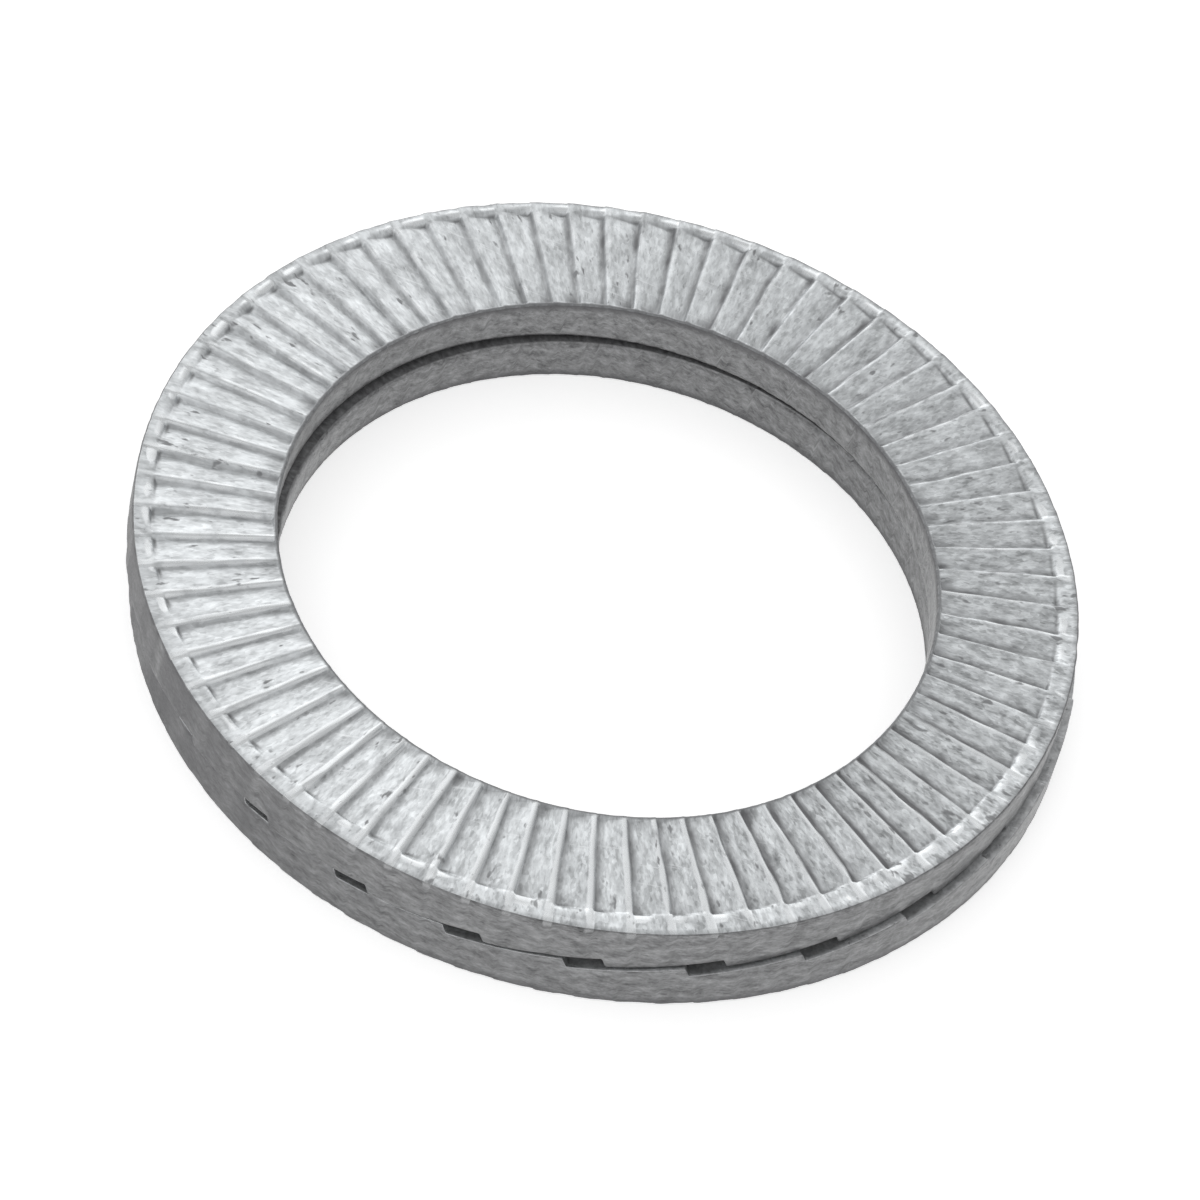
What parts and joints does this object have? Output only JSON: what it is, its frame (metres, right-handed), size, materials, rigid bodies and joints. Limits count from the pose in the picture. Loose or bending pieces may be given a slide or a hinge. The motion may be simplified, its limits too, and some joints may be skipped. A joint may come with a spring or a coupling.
{
  "type": "wedge lock washer pair",
  "caption": "Pair of flat ring washers glued cam face to cam face, with radial saw teeth on both outer faces inside a plain rim.",
  "frame": {"origin": "middle of the pair's lower bearing face, on the bore axis", "axes": "+Z along the bore, from the lower washer to the upper one; +X to the right in the picture's view"},
  "size_m": [0.031, 0.0306, 0.0034],
  "materials": {
    "zinc_flake_steel": "matt silver-grey zinc-flake coating on hardened steel"
  },
  "bodies": {
    "root": {"upper_washer": "zinc_flake_steel", "lower_washer": "zinc_flake_steel"}
  },
  "joints": []
}
